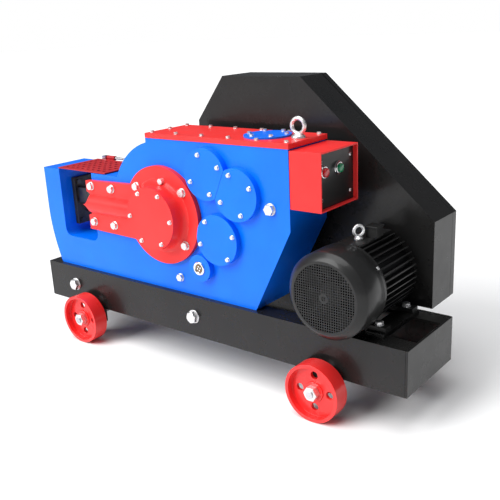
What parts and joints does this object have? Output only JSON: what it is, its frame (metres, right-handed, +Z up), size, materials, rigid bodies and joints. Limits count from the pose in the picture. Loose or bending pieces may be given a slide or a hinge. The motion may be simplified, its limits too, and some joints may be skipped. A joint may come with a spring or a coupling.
{
  "type": "rebar cutter",
  "caption": "Wheeled electric rebar cutter: geared casing with crank-driven ram and open cutting mouth, hand guard, belt-driven flywheel and push-button box.",
  "frame": {"origin": "on the floor, under the middle of the machine's bounding box", "axes": "+X along the base frame from the cutting mouth to the motor, +Y from the operator's side to the belt guard, +Z up"},
  "size_m": [1.3, 0.427, 0.804],
  "materials": {
    "frame_black": "gloss black paint",
    "casing_blue": "satin blue paint",
    "cover_red": "satin red paint",
    "wheel_red": "gloss red paint over cast iron",
    "zinc": "bright zinc plate",
    "machined_steel": "machined",
    "blade_steel": "hardened and ground",
    "cast_grey": "as cast and painted",
    "motor_grey": "satin dark grey paint",
    "cowl_black": "satin black",
    "bronze": "bearing bronze",
    "belt_rubber": "matt",
    "sight_glass": "bright ring with a dark eye",
    "button_red": "gloss",
    "button_green": "gloss",
    "chrome_rim": "polished",
    "panel_black": "satin black",
    "gland_plastic": "matt",
    "fan_plastic": "matt"
  },
  "bodies": {
    "root": {"base_rails": "frame_black", "base_end_plates": "frame_black", "base_cross_members": "frame_black", "axle_brackets": "frame_black", "axles": "machined_steel", "wheel_nuts": "zinc", "frame_bolts": "zinc", "casing_front_plate": "casing_blue", "casing_rear_plate": "casing_blue", "casing_rim": "casing_blue", "mouth_lining": "casing_blue", "lid": "cover_red", "inspection_cover": "casing_blue", "lid_bolts": "zinc", "lifting_eyes": "zinc", "crank_cover": "cover_red", "crank_cover_bolts": "zinc", "bearing_covers": "casing_blue", "cover_bolts": "zinc", "oil_plugs": "zinc", "sight_glass": "sight_glass", "shaft_bearings": "machined_steel", "crank_bushes": "bronze", "ram_guides": "bronze", "fixed_blade": "blade_steel", "blade_seat": "cast_grey", "blade_seat_bolts": "blade_steel", "guard_hinge": "machined_steel", "control_box": "cover_red", "control_panel": "panel_black", "panel_screws": "zinc", "button_bezels": "chrome_rim", "cable_gland": "gland_plastic", "motor_frame": "motor_grey", "motor_end_shields": "motor_grey", "fan_cowl": "cowl_black", "terminal_box": "motor_grey", "motor_bolts": "zinc", "drive_belts": "belt_rubber", "belt_guard": "frame_black", "belt_guard_cover": "frame_black"},
    "hand_guard": {"hand_guard": "cover_red"},
    "stop_button": {"stop_button": "button_red"},
    "start_button": {"start_button": "button_green"},
    "wheel_front_left": {"wheel_front_left": "wheel_red"},
    "wheel_front_right": {"wheel_front_right": "wheel_red"},
    "wheel_rear_left": {"wheel_rear_left": "wheel_red"},
    "wheel_rear_right": {"wheel_rear_right": "wheel_red"},
    "flywheel_shaft": {"first_shaft": "machined_steel", "flywheel": "cast_grey"},
    "second_shaft": {"second_shaft": "machined_steel"},
    "third_shaft": {"third_shaft": "machined_steel"},
    "crank": {"crankshaft": "machined_steel", "crank_gear": "machined_steel"},
    "connecting_rod": {"connecting_rod": "machined_steel"},
    "ram": {"ram": "machined_steel", "moving_blade": "blade_steel"},
    "motor_rotor": {"motor_rotor": "machined_steel", "motor_fan": "fan_plastic", "motor_pulley": "cast_grey"}
  },
  "joints": [
    {"name": "flywheel_spin", "type": "hinge", "parent": "root", "child": "flywheel_shaft", "pos_m": [0.06819, -0.0235, 0.57502], "axis": [0, 1, 0], "continuous": true},
    {"name": "second_shaft_spin", "type": "hinge", "parent": "root", "child": "second_shaft", "pos_m": [0.16891, -0.0235, 0.5308], "axis": [0, 1, 0], "continuous": true},
    {"name": "third_shaft_spin", "type": "hinge", "parent": "root", "child": "third_shaft", "pos_m": [0.09763, -0.0235, 0.40167], "axis": [0, 1, 0], "continuous": true},
    {"name": "crank_spin", "type": "hinge", "parent": "root", "child": "crank", "pos_m": [-0.105, -0.0235, 0.444], "axis": [0, 1, 0], "continuous": true},
    {"name": "motor_spin", "type": "hinge", "parent": "root", "child": "motor_rotor", "pos_m": [0.468, -0.0235, 0.334], "axis": [0, 1, 0], "continuous": true},
    {"name": "rod_swing", "type": "hinge", "parent": "crank", "child": "connecting_rod", "pos_m": [-0.085, -0.0815, 0.444], "axis": [0, 1, 0], "continuous": true},
    {"name": "ram_slide", "type": "slide", "parent": "root", "child": "ram", "axis": [-1, 0, 0], "range_m": [0, 0.04]},
    {"name": "hand_guard_hinge", "type": "hinge", "parent": "root", "child": "hand_guard", "pos_m": [-0.454, 0.0445, 0.543], "axis": [-1, 0, 0], "range_deg": [0, 100]},
    {"name": "stop_button_press", "type": "slide", "parent": "root", "child": "stop_button", "axis": [-1, 0, 0], "range_m": [0, 0.004], "stiffness_N_per_m": 400},
    {"name": "start_button_press", "type": "slide", "parent": "root", "child": "start_button", "axis": [-1, 0, 0], "range_m": [0, 0.004], "stiffness_N_per_m": 400},
    {"name": "wheel_front_left_spin", "type": "hinge", "parent": "root", "child": "wheel_front_left", "pos_m": [-0.447, -0.1835, 0.076], "axis": [0, 1, 0], "continuous": true},
    {"name": "wheel_front_right_spin", "type": "hinge", "parent": "root", "child": "wheel_front_right", "pos_m": [0.424, -0.1835, 0.076], "axis": [0, 1, 0], "continuous": true},
    {"name": "wheel_rear_left_spin", "type": "hinge", "parent": "root", "child": "wheel_rear_left", "pos_m": [-0.447, 0.1365, 0.076], "axis": [0, 1, 0], "continuous": true},
    {"name": "wheel_rear_right_spin", "type": "hinge", "parent": "root", "child": "wheel_rear_right", "pos_m": [0.424, 0.1365, 0.076], "axis": [0, 1, 0], "continuous": true}
  ],
  "couplings": [
    {"joint": "second_shaft_spin", "follows": "flywheel_spin", "ratio": -0.375},
    {"joint": "third_shaft_spin", "follows": "flywheel_spin", "ratio": 0.12784},
    {"joint": "crank_spin", "follows": "flywheel_spin", "ratio": -0.035511},
    {"joint": "rod_swing", "follows": "flywheel_spin", "ratio": 0.035511},
    {"joint": "motor_spin", "follows": "flywheel_spin", "ratio": 3.2414}
  ]
}
